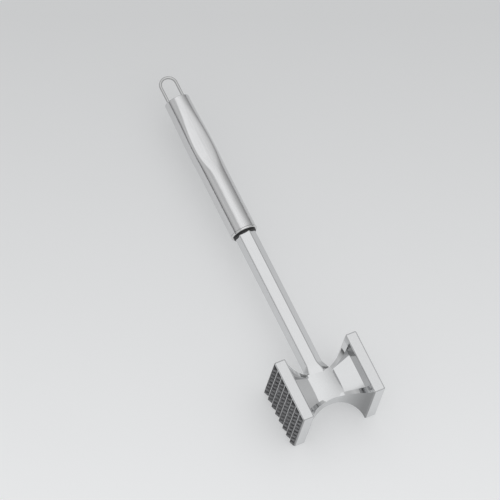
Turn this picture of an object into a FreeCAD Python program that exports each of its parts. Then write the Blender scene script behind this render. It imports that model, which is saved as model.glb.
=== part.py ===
import FreeCAD, Part

import math
import os

V = FreeCAD.Vector

# Meat mallet on its side with its handle level. Units are mm and +Z is up.
# Everything is first built about the axis of the handle: +X runs from the toothed
# face to the flat face, +Y from the head to the hanging loop.

# head casting
PLATE_SIDE = 51.0
PLATE_T = 9.0
HEAD_LENGTH = 68.4
HEAD_OFFSET = 0.8
PLATE_CORNER_R = 1.8
PLATE_EDGE_R = 1.2
PLATE_OVERLAP = 0.6
ARC_R = 30.5
ARC_CROWN = 11.2
RIM_T = 2.4
RIM_INNER_R = 38.0
RIM_DEPTH_MIN = 5.0
RIM_DEPTH_R = 26.0
HUB_HALF_WIDTH = 10.7
HUB_DEPTH = 8.4
HUB_FALL = 6.3
CREASE_DEPTH = 7.0
CREASE_FALL = 4.4
PANEL_DEPTH = 11.5
PANEL_FALL = 1.0
FALL_SPAN = 26.0
NECK_SIDE_FALL = 0.25
CORE_STATIONS = 8

# pyramid teeth
TEETH_PER_SIDE = 8
TOOTH_PITCH = 6.2
TOOTH_HEIGHT = 2.4
TOOTH_TIP = 0.5
TOOTH_ROOT = 0.4
TOOTH_BURY = 1.2

# hexagon shaft and its joint with the head
HEX_ROLL = -17.3
HEX_CORNER_RADIUS = 8.3
HEX_EDGE_R = 1.4
NECK_CORNERS = ((3.6, 8.3), (10.4, 4.6), (9.8, -6.6), (-3.6, -8.3), (-9.2, -4.2), (-8.4, 6.3))
NECK_EDGE_R = 2.6
NECK_START = 3.0
NECK_FLARE_START = 12.0
NECK_END = 21.0
NECK_STEPS = 12
NECK_ROOT_SCALE = 0.75
SPIGOT_R = 4.5
SPIGOT_START = -6.0
HEX_END = 141.0
TANG_R = 5.0
TANG_END = 162.0
THREAD_R = 4.0
THREAD_END = 180.0

# handle tube with its pressed thumb flat
TUBE_START = 138.0
TUBE_END = 252.3
TUBE_R = 10.3
TUBE_WALL = 1.0
SEAT_GAP = 0.02
TUBE_REAR_R = 9.8
TUBE_BULGE = 0.3
BULGE_LENGTH = 16.0
TAPER_START = 215.0
TUBE_PLAIN_STATIONS = (138.0, 148.0, 159.0, 168.0, 174.0)
TUBE_PRESSED_START = 179.0
TUBE_PRESSED_STEPS = 26
FLAT_CENTRE = 209.0
FLAT_HEIGHT = 8.45
FLAT_CROWN_R = 32.0
FLAT_FRONT_SWEEP_R = 105.0
FLAT_REAR_SWEEP_R = 450.0
FLAT_SHARPNESS = 30
SECTION_POINTS = 48

# fittings at the mouth of the handle
RING_START = 136.2
RING_R = 10.6
RING_EDGE_R = 0.7
RING_BORE_R = 9.0
RING_SPIGOT_END = 143.0
BUSH_START = 134.8
BUSH_EDGE_R = 0.4
BUSH_END = 160.0
ANCHOR_START = 162.0
ANCHOR_END = 182.0

# fittings at the rear of the handle
CAP_LIP = 1.2
CAP_EDGE_R = 0.6
CAP_SPIGOT_START = 249.3
LOOP_WIRE_R = 1.15
LOOP_LEG_OFFSET = 6.28
LOOP_TIP = 274.5
LOOP_HEAD_R = 1.9
LOOP_HEAD_T = 1.3

# how far a cutting tool runs past the metal it cuts
OVERRUN = 2.0

# move the lowest, middle point of the object to the origin
ORIGIN_SHIFT = V(TOOTH_HEIGHT / 2 - HEAD_OFFSET, (PLATE_SIDE / 2 - LOOP_TIP) / 2, PLATE_SIDE / 2)

AXIS_Y = V(0, 1, 0)


def face_from_points(points):
    return Part.Face(Part.makePolygon(list(points) + [points[0]]))


def cylinder_y(radius, start, end, x=0.0):
    return Part.makeCylinder(radius, end - start, V(x, start, 0), AXIS_Y)


def ring_y(outer, inner, start, end):
    return cylinder_y(outer, start, end).cut(cylinder_y(inner, start, end))


def rounded_outline(corners, y, corner_r):
    """Closed outline at one place along the handle, from (x, z) corners and their radius."""
    points = [V(x, y, z) for x, z in corners]
    arcs = []
    for k, here in enumerate(points):
        before = (points[k - 1] - here).normalize()
        after = (points[(k + 1) % len(points)] - here).normalize()
        half = before.getAngle(after) / 2
        setback = corner_r / math.tan(half)
        bulge = corner_r / math.sin(half) - corner_r
        inward = (before + after).normalize()
        arcs.append((here + before * setback, here + inward * bulge, here + after * setback))
    edges = []
    for k, (enter, middle, leave) in enumerate(arcs):
        edges.append(Part.Arc(enter, middle, leave).toShape())
        edges.append(Part.LineSegment(leave, arcs[(k + 1) % len(arcs)][0]).toShape())
    return Part.Wire(edges)


def hexagon_corners():
    """Corners of the shaft's section; one of its sides is turned HEX_ROLL from +Z."""
    corners = []
    for k in range(6):
        angle = math.radians(30 + 60 * k + HEX_ROLL)
        corners.append((HEX_CORNER_RADIUS * math.sin(angle), HEX_CORNER_RADIUS * math.cos(angle)))
    return corners


def hexagon_prism(start, end):
    outline = rounded_outline(hexagon_corners(), start, HEX_EDGE_R)
    return Part.Face(outline).extrude(V(0, end - start, 0))


def make_plate(side):
    """One end plate of the head; side is -1 for the toothed end, +1 for the flat end."""
    inner = HEAD_LENGTH / 2 - PLATE_T
    half = PLATE_SIDE / 2
    plate = Part.makeBox(PLATE_T, PLATE_SIDE, PLATE_SIDE, V(inner, -half, -half))
    corners = [e for e in plate.Edges if abs(e.tangentAt(e.FirstParameter).x) > 0.99]
    plate = plate.makeFillet(PLATE_CORNER_R, corners)
    rims = [e for e in plate.Edges if abs(e.tangentAt(e.FirstParameter).x) < 0.01]
    plate = plate.makeFillet(PLATE_EDGE_R, rims)
    if side < 0:
        plate = plate.mirror(V(0, 0, 0), V(1, 0, 0))
    return plate


def ridge_profile():
    """Zigzag outline across one row of teeth, as (position, height) pairs."""
    start = -TEETH_PER_SIDE * TOOTH_PITCH / 2
    root = TOOTH_ROOT / 2
    points = [(start + root, -TOOTH_BURY)]
    for k in range(TEETH_PER_SIDE):
        left = start + k * TOOTH_PITCH
        middle = left + TOOTH_PITCH / 2
        points.append((left + root, 0.0))
        points.append((middle - TOOTH_TIP / 2, TOOTH_HEIGHT))
        points.append((middle + TOOTH_TIP / 2, TOOTH_HEIGHT))
        points.append((left + TOOTH_PITCH - root, 0.0))
    points.append((-start - root, -TOOTH_BURY))
    return points


def make_teeth():
    """Rows of four-sided teeth: two crossed zigzag prisms share only the pyramids."""
    face_x = -HEAD_LENGTH / 2
    span = PLATE_SIDE
    rows_y = face_from_points([V(face_x - h, p, -span / 2) for p, h in ridge_profile()])
    rows_z = face_from_points([V(face_x - h, -span / 2, p) for p, h in ridge_profile()])
    return rows_y.extrude(V(0, 0, span)).common(rows_z.extrude(V(0, span, 0)))


def waisted_prism(crown, radius, half_x, vertical):
    """Block with two concave sides; the sides face +-Z when vertical, else +-Y."""
    depth = crown + radius - math.sqrt(radius ** 2 - half_x ** 2)
    middle = crown

    def point(x, d):
        return V(x, 0, d) if vertical else V(x, d, 0)

    outline = Part.Wire([
        Part.Arc(point(-half_x, depth), point(0, middle), point(half_x, depth)).toShape(),
        Part.LineSegment(point(half_x, depth), point(half_x, -depth)).toShape(),
        Part.Arc(point(half_x, -depth), point(0, -middle), point(-half_x, -depth)).toShape(),
        Part.LineSegment(point(-half_x, -depth), point(-half_x, depth)).toShape(),
    ])
    along = V(0, PLATE_SIDE, 0) if vertical else V(0, 0, PLATE_SIDE)
    prism = Part.Face(outline).extrude(along)
    prism.translate(along * -0.5)
    return prism


def core_section(y, half_x):
    """Outline of the web at one place: a crowned hub between panels that rise to the plates."""
    fall = (1 - math.cos(math.pi * y / FALL_SPAN)) / 2
    if y > 0:
        fall *= NECK_SIDE_FALL
    crease = CREASE_DEPTH - CREASE_FALL * fall
    hub_top = HUB_DEPTH - HUB_FALL * fall
    plate_top = PANEL_DEPTH - PANEL_FALL * fall

    def half_outline(side):
        """Panel, hub and panel on one face, then the end of the web; side is 1 or -1."""
        rise = [V(side * x, y, side * z) for x, z in (
            (-half_x, plate_top), (-HUB_HALF_WIDTH, crease), (0.0, hub_top),
            (HUB_HALF_WIDTH, crease), (half_x, plate_top), (half_x, -plate_top))]
        return [
            Part.LineSegment(rise[0], rise[1]).toShape(),
            Part.Arc(rise[1], rise[2], rise[3]).toShape(),
            Part.LineSegment(rise[3], rise[4]).toShape(),
            Part.LineSegment(rise[4], rise[5]).toShape(),
        ]

    return Part.Wire(half_outline(1) + half_outline(-1))


def make_core(half_x):
    """Web and hub between the plates, still without the arches."""
    step = PLATE_SIDE / CORE_STATIONS
    stations = [-PLATE_SIDE / 2 + k * step for k in range(CORE_STATIONS + 1)]
    return Part.makeLoft([core_section(y, half_x) for y in stations], True, False)


def make_rims(half_x):
    """Ribs round the two arches, shallow at the hub and full depth at the plates."""
    bands = []
    for sign in (-1, 1):
        centre = V(0, sign * (ARC_CROWN - RIM_T + RIM_INNER_R), -PLATE_SIDE / 2)
        bands.append(Part.makeCylinder(RIM_INNER_R, PLATE_SIDE, centre))
    fan = waisted_prism(RIM_DEPTH_MIN, RIM_DEPTH_R, half_x, True)
    reach = PLATE_SIDE - PLATE_EDGE_R
    block = Part.makeBox(2 * half_x, reach, reach, V(-half_x, -reach / 2, -reach / 2))
    return bands[0].fuse(bands[1]).common(fan).common(block)


def neck_section(y):
    """Outline of the neck: narrow inside the hub, wide at the arch, then the shaft's hexagon."""
    run = (y - NECK_FLARE_START) / (NECK_END - NECK_FLARE_START)
    t = max(0.0, run)
    share = t * t * (3 - 2 * t)
    inside = max(0.0, (NECK_FLARE_START - y) / (NECK_FLARE_START - NECK_START))
    scale = 1 - (1 - NECK_ROOT_SCALE) * inside
    corners = []
    for (x0, z0), (x1, z1) in zip(NECK_CORNERS, hexagon_corners()):
        corners.append((x0 * scale * (1 - share) + x1 * share, z0 * scale * (1 - share) + z1 * share))
    return rounded_outline(corners, y, NECK_EDGE_R + (HEX_EDGE_R - NECK_EDGE_R) * share)


def make_neck():
    """Stub of the shaft's section that flares and turns into the hub."""
    step = (NECK_END - NECK_START) / NECK_STEPS
    sections = [neck_section(NECK_START + k * step) for k in range(NECK_STEPS + 1)]
    return Part.makeLoft(sections, True, False)


def make_head():
    half_x = HEAD_LENGTH / 2 - PLATE_T + PLATE_OVERLAP
    waist = waisted_prism(ARC_CROWN, ARC_R, half_x, False)
    body = make_core(half_x).common(waist).fuse(make_rims(half_x).common(waist))
    body = body.fuse([make_plate(-1), make_plate(1), make_teeth()])
    body.translate(V(HEAD_OFFSET, 0, 0))
    head = body.fuse(make_neck())
    head = head.cut(cylinder_y(SPIGOT_R, SPIGOT_START, NECK_END + OVERRUN))
    return head.removeSplitter()


def make_shaft():
    return hexagon_prism(NECK_END, HEX_END).fuse([
        cylinder_y(SPIGOT_R, SPIGOT_START, NECK_END),
        cylinder_y(TANG_R, HEX_END, TANG_END),
        cylinder_y(THREAD_R, TANG_END, THREAD_END),
    ]).removeSplitter()


def tube_radius(y):
    """Outer radius: straight from the mouth, swollen at the flat, then tapering."""
    swelling = TUBE_BULGE * math.exp(-((y - FLAT_CENTRE) / BULGE_LENGTH) ** 2)
    t = min(1.0, max(0.0, (y - TAPER_START) / (TUBE_END - TAPER_START)))
    return TUBE_R + swelling - (TUBE_R - TUBE_REAR_R) * t * t * (3 - 2 * t)


def tube_section(y, inset):
    """Round section whose top is pressed nearly flat; inset moves it inward by a wall."""
    sweep_r = FLAT_REAR_SWEEP_R if y > FLAT_CENTRE else FLAT_FRONT_SWEEP_R
    flat = FLAT_HEIGHT + (y - FLAT_CENTRE) ** 2 / (2 * sweep_r) - inset
    points = []
    for k in range(SECTION_POINTS):
        angle = 2 * math.pi * k / SECTION_POINTS + math.pi
        r = tube_radius(y) - inset
        rise = math.cos(angle)
        reach = math.sin(angle)
        root = math.sqrt(rise ** 2 + 2 * reach ** 2 * flat / FLAT_CROWN_R)
        ratio = r * (rise + root) / (2 * flat)
        if ratio > 0:
            r = r * (1 + ratio ** FLAT_SHARPNESS) ** (-1.0 / FLAT_SHARPNESS)
        points.append(V(r * reach, y, r * rise))
    curve = Part.BSplineCurve()
    knots = [k / SECTION_POINTS for k in range(SECTION_POINTS + 1)]
    curve.interpolate(Points=points, PeriodicFlag=True, Parameters=knots)
    return Part.Wire([curve.toShape()])


def tube_loft(inset, overrun):
    """Solid along the whole tube, run past both ends by overrun."""
    step = (TUBE_END - TUBE_PRESSED_START) / TUBE_PRESSED_STEPS
    stations = list(TUBE_PLAIN_STATIONS)
    stations += [TUBE_PRESSED_START + k * step for k in range(TUBE_PRESSED_STEPS + 1)]
    stations[0] -= overrun
    stations[-1] += overrun
    return Part.makeLoft([tube_section(y, inset) for y in stations], True, False)


def make_tube():
    return tube_loft(0.0, 0.0).cut(tube_loft(TUBE_WALL, OVERRUN))


def make_mouth_ring():
    collar = ring_y(RING_R, RING_BORE_R, RING_START, TUBE_START)
    outer_edges = [e for e in collar.Edges
                   if e.Closed and abs(e.BoundBox.XLength / 2 - RING_R) < 0.01]
    collar = collar.makeFillet(RING_EDGE_R, outer_edges)
    spigot_r = TUBE_R - TUBE_WALL - SEAT_GAP
    return collar.fuse(ring_y(spigot_r, RING_BORE_R, TUBE_START, RING_SPIGOT_END))


def make_bush():
    bush = ring_y(RING_BORE_R, TANG_R, BUSH_START, BUSH_END)
    front = [e for e in bush.Edges if e.Closed and e.BoundBox.YMax < BUSH_START + 0.1
             and e.BoundBox.XLength > RING_BORE_R]
    bush = bush.makeFillet(BUSH_EDGE_R, front)
    return bush.cut(hexagon_prism(BUSH_START - OVERRUN, HEX_END))


def make_anchor():
    return ring_y(TUBE_R - TUBE_WALL - SEAT_GAP, THREAD_R, ANCHOR_START, ANCHOR_END)


def make_cap():
    radius = TUBE_REAR_R
    lip = cylinder_y(radius, TUBE_END, TUBE_END + CAP_LIP)
    rear_edges = [e for e in lip.Edges if e.Closed and e.BoundBox.YMin > TUBE_END + 0.1]
    lip = lip.makeFillet(CAP_EDGE_R, rear_edges)
    spigot = cylinder_y(radius - TUBE_WALL - SEAT_GAP, CAP_SPIGOT_START, TUBE_END)
    cap = lip.fuse(spigot)
    for x in (-LOOP_LEG_OFFSET, LOOP_LEG_OFFSET):
        cap = cap.cut(cylinder_y(LOOP_WIRE_R, CAP_SPIGOT_START, TUBE_END + CAP_LIP, x))
    return cap


def make_loop():
    """Bent wire whose two ends are upset behind the end cap."""
    bend_y = LOOP_TIP - LOOP_WIRE_R - LOOP_LEG_OFFSET
    bend = Part.makeTorus(LOOP_LEG_OFFSET, LOOP_WIRE_R, V(0, bend_y, 0), V(0, 0, 1), 0, 360, 180)
    parts = []
    for x in (-LOOP_LEG_OFFSET, LOOP_LEG_OFFSET):
        parts.append(cylinder_y(LOOP_WIRE_R, CAP_SPIGOT_START, bend_y, x))
        head_start = CAP_SPIGOT_START - LOOP_HEAD_T
        parts.append(cylinder_y(LOOP_HEAD_R, head_start, CAP_SPIGOT_START, x))
    return bend.fuse(parts)


def export(name, shape):
    solid = shape.copy()
    solid.translate(ORIGIN_SHIFT)
    box = solid.BoundBox
    print(name, len(solid.Solids), solid.isValid(), round(solid.Volume, 1),
          [round(v, 2) for v in (box.XMin, box.XMax, box.YMin, box.YMax, box.ZMin, box.ZMax)])
    solid.exportStep("parts/" + name + ".step")


os.makedirs("parts", exist_ok=True)
export("mallet_head", make_head())
export("hexagon_shaft", make_shaft())
export("mouth_ring", make_mouth_ring())
export("mouth_bush", make_bush())
export("tang_anchor", make_anchor())
export("handle_tube", make_tube())
export("end_cap", make_cap())
export("hanging_loop", make_loop())
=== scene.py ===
import math

import bpy
from mathutils import Matrix, Vector


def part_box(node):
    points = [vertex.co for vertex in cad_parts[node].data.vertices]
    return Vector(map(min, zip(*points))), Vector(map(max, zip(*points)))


MM = 0.001

# direction from the mallet to the camera, and the camera's up, in the row frame
TOWARDS_CAMERA = Vector((-0.2925, -0.3011, 0.9076))
CAMERA_UP = Vector((0.3511, 0.8490, 0.3947))
CAMERA_DISTANCE = 12.0
CAMERA_REACH = 40.0
SENSOR_WIDTH = 36.0
VIEW_WIDTH = 372.1 * MM
# the point looked at, from the middle of the head on the handle's line
AIM_FROM_HEAD = Vector((-12.64, 111.76, 32.99)) * MM

# pale light table: it scatters the studio light and glows a little itself
FLOOR_SIZE = 3.0
FLOOR_DROP = 0.2 * MM
FLOOR_FAR = 0.447
FLOOR_NEAR = 0.600
FLOOR_GLOW = 0.62
FLOOR_TINT = (0.985, 0.993, 1.0)
# metres from the middle to where the floor is fully near or far
FLOOR_FADE = 0.2
FLOOR_MOTTLE = 0.996
FLOOR_ROUGH = 0.9
FLOOR_SPECULAR = 0.1

# studio light round the handle's line: degrees from straight up (minus is the toothed side), grey
STUDIO_STOPS = (
    (-180, 0.04), (-96, 0.05), (-88, 0.10), (-76, 0.50), (-60, 0.66), (-40, 0.58), (-27, 0.62),
    (-23, 0.96), (-5, 1.02), (6, 1.00), (18, 0.93), (30, 0.83), (42, 0.67), (56, 0.54),
    (70, 0.44), (84, 0.32), (94, 0.12), (180, 0.04),
)
END_GREY = 0.50
END_FADE = (0.55, 0.95)
STUDIO_TINT = (0.99, 0.995, 1.0)

TOOTH_HEIGHT = 2.4 * MM
HEAD_OFFSET = 0.8 * MM

# the span of a noise that is used, from its lowest to its highest effect
FULL_NOISE = (0.3, 0.7)

# noise: scale, in cells per metre, then detail and roughness
HEAD_MARKS = (600, 6, 0.65)
HEAD_WAVES = (45, 2, 0.4)
GRIME = (420, 5, 0.7)
WIPE_MARKS = (700, 6, 0.65)
METAL_WAVES = (60, 2, 0.4)
BRUSHING = (2600, 4, 0.7)
PATCHES = (90, 3, 0.5)
PORES = (1800, 3, 0.6)
MOTTLE = (14, 3, 0.5)

# how the noise is stretched along the handle
EVEN = (1, 1, 1)
ALONG_WIPE = (1, 0.25, 1)
ALONG_BRUSHING = (1, 0.02, 1)
ALONG_PATCHES = (1, 0.3, 1)

# bump: depth, strength
HEAD_BUMP = (0.16 * MM, 0.4)
METAL_BUMP = (0.05 * MM, 0.4)
BRUSHING_BUMP = (0.03 * MM, 0.4)
PORE_BUMP = (0.05 * MM, 0.5)

# colours, and how much darker a metal gets in its marks
CHROME = (0.730, 0.735, 0.740)
RING_CHROME = (0.76, 0.76, 0.76)
LOOP_CHROME = (0.60, 0.60, 0.60)
SATIN = (0.76, 0.76, 0.765)
ANCHOR_GREY = (0.6, 0.6, 0.6)
BLACK = ((0.008, 0.008, 0.008), (0.02, 0.02, 0.02))
TOOTH_TIPS = ((0.12, 0.12, 0.124), (0.38, 0.38, 0.39))
# the roots are darker than the tips: painted shade in the valleys between the teeth
TOOTH_ROOT_SHADE = ((0.03, 0.03, 0.032), (0.11, 0.11, 0.114))
POLISHED_MARKS = 0.965
SATIN_MARKS = 0.9

# roughness, lowest and highest
HEAD_ROUGH = (0.06, 0.10)
TEETH_ROUGH = (0.16, 0.34)
PLASTIC_ROUGH = (0.42, 0.6)
WIPE_ROUGH_SHARES = (0.8, 1.3)

# teeth: how far down they are fully dark with painted shade in their valleys, and how sharply they
# begin
TEETH_DEEP_SHARE = 0.9
TEETH_EDGE = 0.1 * MM

# painted shade on the flanks of both arches, alike on all four: a darker copy of the metal
# standing in for dark reflections there
FLANK_FACING_X = (0.15, 0.75)
FLANK_FACING_Y = (0.15, 0.45)
FLANK_PAINTED_SHADE = 0.42

# the Mix node's sockets: first, second and result
MIX_SOCKETS = {"FLOAT": (2, 3, 0), "RGBA": (6, 7, 2)}


def new_material(name):
    material = bpy.data.materials.new(name)
    material.use_nodes = True
    nodes = material.node_tree.nodes
    return material, nodes, material.node_tree.links, nodes["Principled BSDF"]


def scaled(colour, share):
    return [part * share for part in colour]


def object_coords(nodes, links, scale):
    """Object coordinates, in metres, times scale."""
    coords = nodes.new("ShaderNodeTexCoord")
    mapping = nodes.new("ShaderNodeMapping")
    mapping.inputs["Scale"].default_value = scale
    links.new(coords.outputs["Object"], mapping.inputs["Vector"])
    return mapping.outputs["Vector"]


def noise(nodes, links, vector, settings):
    texture = nodes.new("ShaderNodeTexNoise")
    for name, value in zip(("Scale", "Detail", "Roughness"), settings):
        texture.inputs[name].default_value = value
    links.new(vector, texture.inputs["Vector"])
    return texture.outputs["Fac"]


def remap(nodes, links, value, goes_to, comes_from=FULL_NOISE, easing="LINEAR"):
    node = nodes.new("ShaderNodeMapRange")
    node.interpolation_type = easing
    node.inputs["From Min"].default_value, node.inputs["From Max"].default_value = comes_from
    node.inputs["To Min"].default_value, node.inputs["To Max"].default_value = goes_to
    links.new(value, node.inputs["Value"])
    return node.outputs["Result"]


def tint(nodes, links, value, dark, light):
    ramp = nodes.new("ShaderNodeValToRGB")
    for element, position, colour in zip(ramp.color_ramp.elements, FULL_NOISE, (dark, light)):
        element.position = position
        element.color = (*colour, 1)
    links.new(value, ramp.inputs["Fac"])
    return ramp.outputs["Color"]


def blend(nodes, links, share, first, second, kind="FLOAT"):
    """First where share is 0, second where it is 1."""
    node = nodes.new("ShaderNodeMix")
    node.data_type = kind
    first_socket, second_socket, result_socket = MIX_SOCKETS[kind]
    links.new(share, node.inputs[0])
    links.new(first, node.inputs[first_socket])
    links.new(second, node.inputs[second_socket])
    return node.outputs[result_socket]


def math_node(nodes, links, operation, *values):
    node = nodes.new("ShaderNodeMath")
    node.operation = operation
    for value, socket in zip(values, node.inputs):
        links.new(value, socket)
    return node.outputs["Value"]


def bump(nodes, links, height, settings):
    node = nodes.new("ShaderNodeBump")
    node.inputs["Distance"].default_value, node.inputs["Strength"].default_value = settings
    links.new(height, node.inputs["Height"])
    return node.outputs["Normal"]


def polished_metal(name, tone, roughness):
    """Bright plated or polished metal with faint wipe marks and waviness."""
    material, nodes, links, shader = new_material(name)
    shader.inputs["Metallic"].default_value = 1.0
    marks = noise(nodes, links, object_coords(nodes, links, ALONG_WIPE), WIPE_MARKS)
    waves = noise(nodes, links, object_coords(nodes, links, EVEN), METAL_WAVES)
    colour = tint(nodes, links, marks, scaled(tone, POLISHED_MARKS), tone)
    links.new(colour, shader.inputs["Base Color"])
    rough = remap(nodes, links, marks, [roughness * share for share in WIPE_ROUGH_SHARES])
    links.new(rough, shader.inputs["Roughness"])
    links.new(bump(nodes, links, waves, METAL_BUMP), shader.inputs["Normal"])
    return material


def painted_shade_mask(nodes, links):
    """1 on the flanks of the arches, which face both along and across the handle, else 0: where
    the shade is painted.
    """
    geometry = nodes.new("ShaderNodeNewGeometry")
    normal = nodes.new("ShaderNodeSeparateXYZ")
    links.new(geometry.outputs["Normal"], normal.inputs["Vector"])
    lean_x = math_node(nodes, links, "ABSOLUTE", normal.outputs["X"])
    lean_y = math_node(nodes, links, "ABSOLUTE", normal.outputs["Y"])
    return math_node(nodes, links, "MULTIPLY",
                     remap(nodes, links, lean_x, (0.0, 1.0), FLANK_FACING_X),
                     remap(nodes, links, lean_y, (0.0, 1.0), FLANK_FACING_Y))


def head_metal(name, tone, face_x):
    """Polished casting with painted shade on the arch flanks; past face_x the teeth are darker,
    with painted shade towards their roots.
    """
    material, nodes, links, shader = new_material(name)
    shader.inputs["Metallic"].default_value = 1.0
    vector = object_coords(nodes, links, EVEN)
    marks = noise(nodes, links, vector, HEAD_MARKS)
    waves = noise(nodes, links, vector, HEAD_WAVES)
    grime = noise(nodes, links, vector, GRIME)
    split = nodes.new("ShaderNodeSeparateXYZ")
    links.new(vector, split.inputs["Vector"])
    root_shade = remap(nodes, links, split.outputs["X"], (0.0, 1.0),
                 (face_x - TOOTH_HEIGHT * TEETH_DEEP_SHARE, face_x))
    teeth = remap(nodes, links, split.outputs["X"], (1.0, 0.0), (face_x - TEETH_EDGE, face_x))
    low = scaled(tone, POLISHED_MARKS)
    polished = tint(nodes, links, marks, low, tone)
    # a darker copy of the metal: painted shade for the arch flanks
    painted_shade_copy = tint(nodes, links, marks, scaled(low, FLANK_PAINTED_SHADE), scaled(tone, FLANK_PAINTED_SHADE))
    metal = blend(nodes, links, painted_shade_mask(nodes, links), polished, painted_shade_copy, "RGBA")
    tips = tint(nodes, links, grime, *TOOTH_TIPS)
    roots = tint(nodes, links, grime, *TOOTH_ROOT_SHADE)
    # darker towards the roots: painted shade in the valleys between the teeth
    tooth_colour = blend(nodes, links, root_shade, tips, roots, "RGBA")
    links.new(blend(nodes, links, teeth, metal, tooth_colour, "RGBA"), shader.inputs["Base Color"])
    smooth = remap(nodes, links, marks, HEAD_ROUGH)
    rough = remap(nodes, links, grime, TEETH_ROUGH)
    links.new(blend(nodes, links, teeth, smooth, rough), shader.inputs["Roughness"])
    links.new(bump(nodes, links, waves, HEAD_BUMP), shader.inputs["Normal"])
    return material


def satin_steel(name, tone, rough):
    """Steel brushed along the handle; rough is its lowest and highest roughness."""
    material, nodes, links, shader = new_material(name)
    shader.inputs["Metallic"].default_value = 1.0
    grain = noise(nodes, links, object_coords(nodes, links, ALONG_BRUSHING), BRUSHING)
    patches = noise(nodes, links, object_coords(nodes, links, ALONG_PATCHES), PATCHES)
    colour = tint(nodes, links, grain, scaled(tone, SATIN_MARKS), tone)
    links.new(colour, shader.inputs["Base Color"])
    links.new(remap(nodes, links, patches, rough), shader.inputs["Roughness"])
    links.new(bump(nodes, links, grain, BRUSHING_BUMP), shader.inputs["Normal"])
    return material


def black_plastic(name):
    material, nodes, links, shader = new_material(name)
    pores = noise(nodes, links, object_coords(nodes, links, EVEN), PORES)
    links.new(tint(nodes, links, pores, *BLACK), shader.inputs["Base Color"])
    links.new(remap(nodes, links, pores, PLASTIC_ROUGH), shader.inputs["Roughness"])
    links.new(bump(nodes, links, pores, PORE_BUMP), shader.inputs["Normal"])
    return material


def floor_paint(name):
    """Pale matt light table, a little darker towards the far side of the view."""
    material, nodes, links, shader = new_material(name)
    vector = object_coords(nodes, links, EVEN)
    along = nodes.new("ShaderNodeVectorMath")
    along.operation = "DOT_PRODUCT"
    along.inputs[1].default_value = Vector((CAMERA_UP.x, CAMERA_UP.y, 0)).normalized()
    links.new(vector, along.inputs[0])
    shade = remap(nodes, links, along.outputs["Value"], (0.0, 1.0), (FLOOR_FADE, -FLOOR_FADE))
    mottle = noise(nodes, links, vector, MOTTLE)
    far = scaled(FLOOR_TINT, FLOOR_FAR)
    near = scaled(FLOOR_TINT, FLOOR_NEAR)
    dim = tint(nodes, links, mottle, scaled(far, FLOOR_MOTTLE), far)
    bright = tint(nodes, links, mottle, scaled(near, FLOOR_MOTTLE), near)
    colour = blend(nodes, links, shade, dim, bright, "RGBA")
    links.new(colour, shader.inputs["Base Color"])
    links.new(colour, shader.inputs["Emission Color"])
    shader.inputs["Emission Strength"].default_value = FLOOR_GLOW
    shader.inputs["Roughness"].default_value = FLOOR_ROUGH
    shader.inputs["Specular IOR Level"].default_value = FLOOR_SPECULAR
    return material


def assign(frame, node, material):
    mesh = frame["nodes"][node].data
    mesh.materials.clear()
    mesh.materials.append(material)


def make_floor():
    bpy.ops.mesh.primitive_plane_add(size=FLOOR_SIZE, location=(0, 0, -FLOOR_DROP))
    floor = bpy.context.object
    floor.name = "floor"
    floor.data.materials.append(floor_paint("floor_paint"))


def make_world():
    """White tent round the handle's line, brightest overhead, dark at both horizons."""
    world = bpy.data.worlds.new("studio")
    bpy.context.scene.world = world
    world.use_nodes = True
    nodes = world.node_tree.nodes
    links = world.node_tree.links
    coords = nodes.new("ShaderNodeTexCoord")
    split = nodes.new("ShaderNodeSeparateXYZ")
    links.new(coords.outputs["Generated"], split.inputs["Vector"])
    turn = math_node(nodes, links, "ARCTAN2", split.outputs["X"], split.outputs["Z"])
    ramp = nodes.new("ShaderNodeValToRGB")
    elements = ramp.color_ramp.elements
    while len(elements) < len(STUDIO_STOPS):
        elements.new(0.5)
    for element, (degrees, grey) in zip(elements, STUDIO_STOPS):
        element.position = (degrees + 180) / 360
        element.color = (*scaled(STUDIO_TINT, grey), 1)
    links.new(remap(nodes, links, turn, (0.0, 1.0), (-math.pi, math.pi)), ramp.inputs["Fac"])
    endward = math_node(nodes, links, "ABSOLUTE", split.outputs["Y"])
    ends = remap(nodes, links, endward, (0.0, 1.0), END_FADE, "SMOOTHSTEP")
    wall = nodes.new("ShaderNodeRGB")
    wall.outputs[0].default_value = (*scaled(STUDIO_TINT, END_GREY), 1)
    colour = blend(nodes, links, ends, ramp.outputs["Color"], wall.outputs[0], "RGBA")
    links.new(colour, nodes["Background"].inputs["Color"])


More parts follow.
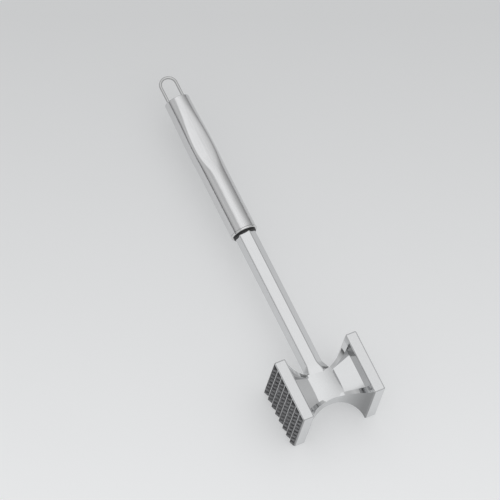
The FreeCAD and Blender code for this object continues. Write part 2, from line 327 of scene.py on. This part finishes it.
def make_camera(handle_line):
    back = TOWARDS_CAMERA.normalized()
    right = CAMERA_UP.cross(back).normalized()
    up = back.cross(right)
    camera = bpy.data.cameras.new("camera")
    camera.sensor_width = SENSOR_WIDTH
    camera.lens = camera.sensor_width * CAMERA_DISTANCE / VIEW_WIDTH
    camera.clip_end = CAMERA_REACH
    holder = bpy.data.objects.new("camera", camera)
    place = handle_line + AIM_FROM_HEAD + back * CAMERA_DISTANCE
    turn = Matrix((right, up, back)).transposed().to_4x4()
    holder.matrix_world = Matrix.Translation(place) @ turn
    bpy.context.collection.objects.link(holder)
    bpy.context.scene.camera = holder


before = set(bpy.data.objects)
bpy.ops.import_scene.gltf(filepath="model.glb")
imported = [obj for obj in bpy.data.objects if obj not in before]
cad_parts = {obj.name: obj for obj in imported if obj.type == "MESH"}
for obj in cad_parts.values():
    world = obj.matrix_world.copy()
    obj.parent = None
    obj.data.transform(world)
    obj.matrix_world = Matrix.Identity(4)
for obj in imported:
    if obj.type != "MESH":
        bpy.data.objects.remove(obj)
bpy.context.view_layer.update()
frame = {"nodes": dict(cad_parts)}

head_low, head_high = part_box("mallet_head")
tooth_root_x = head_low.x + TOOTH_HEIGHT
handle_line = (head_low + head_high) / 2 + Vector((TOOTH_HEIGHT / 2 - HEAD_OFFSET, 0, 0))

assign(frame, "mallet_head", head_metal("head_chrome", CHROME, tooth_root_x))
assign(frame, "hexagon_shaft", polished_metal("shaft_chrome", CHROME, 0.08))
assign(frame, "mouth_ring", polished_metal("ring_chrome", RING_CHROME, 0.08))
assign(frame, "mouth_bush", black_plastic("bush_black"))
assign(frame, "tang_anchor", satin_steel("anchor_steel", ANCHOR_GREY, (0.3, 0.4)))
assign(frame, "handle_tube", satin_steel("handle_satin", SATIN, (0.13, 0.18)))
assign(frame, "end_cap", satin_steel("cap_satin", SATIN, (0.15, 0.2)))
assign(frame, "hanging_loop", polished_metal("loop_chrome", LOOP_CHROME, 0.07))

bpy.context.scene.view_settings.view_transform = "Standard"
make_floor()
make_world()
make_camera(handle_line)
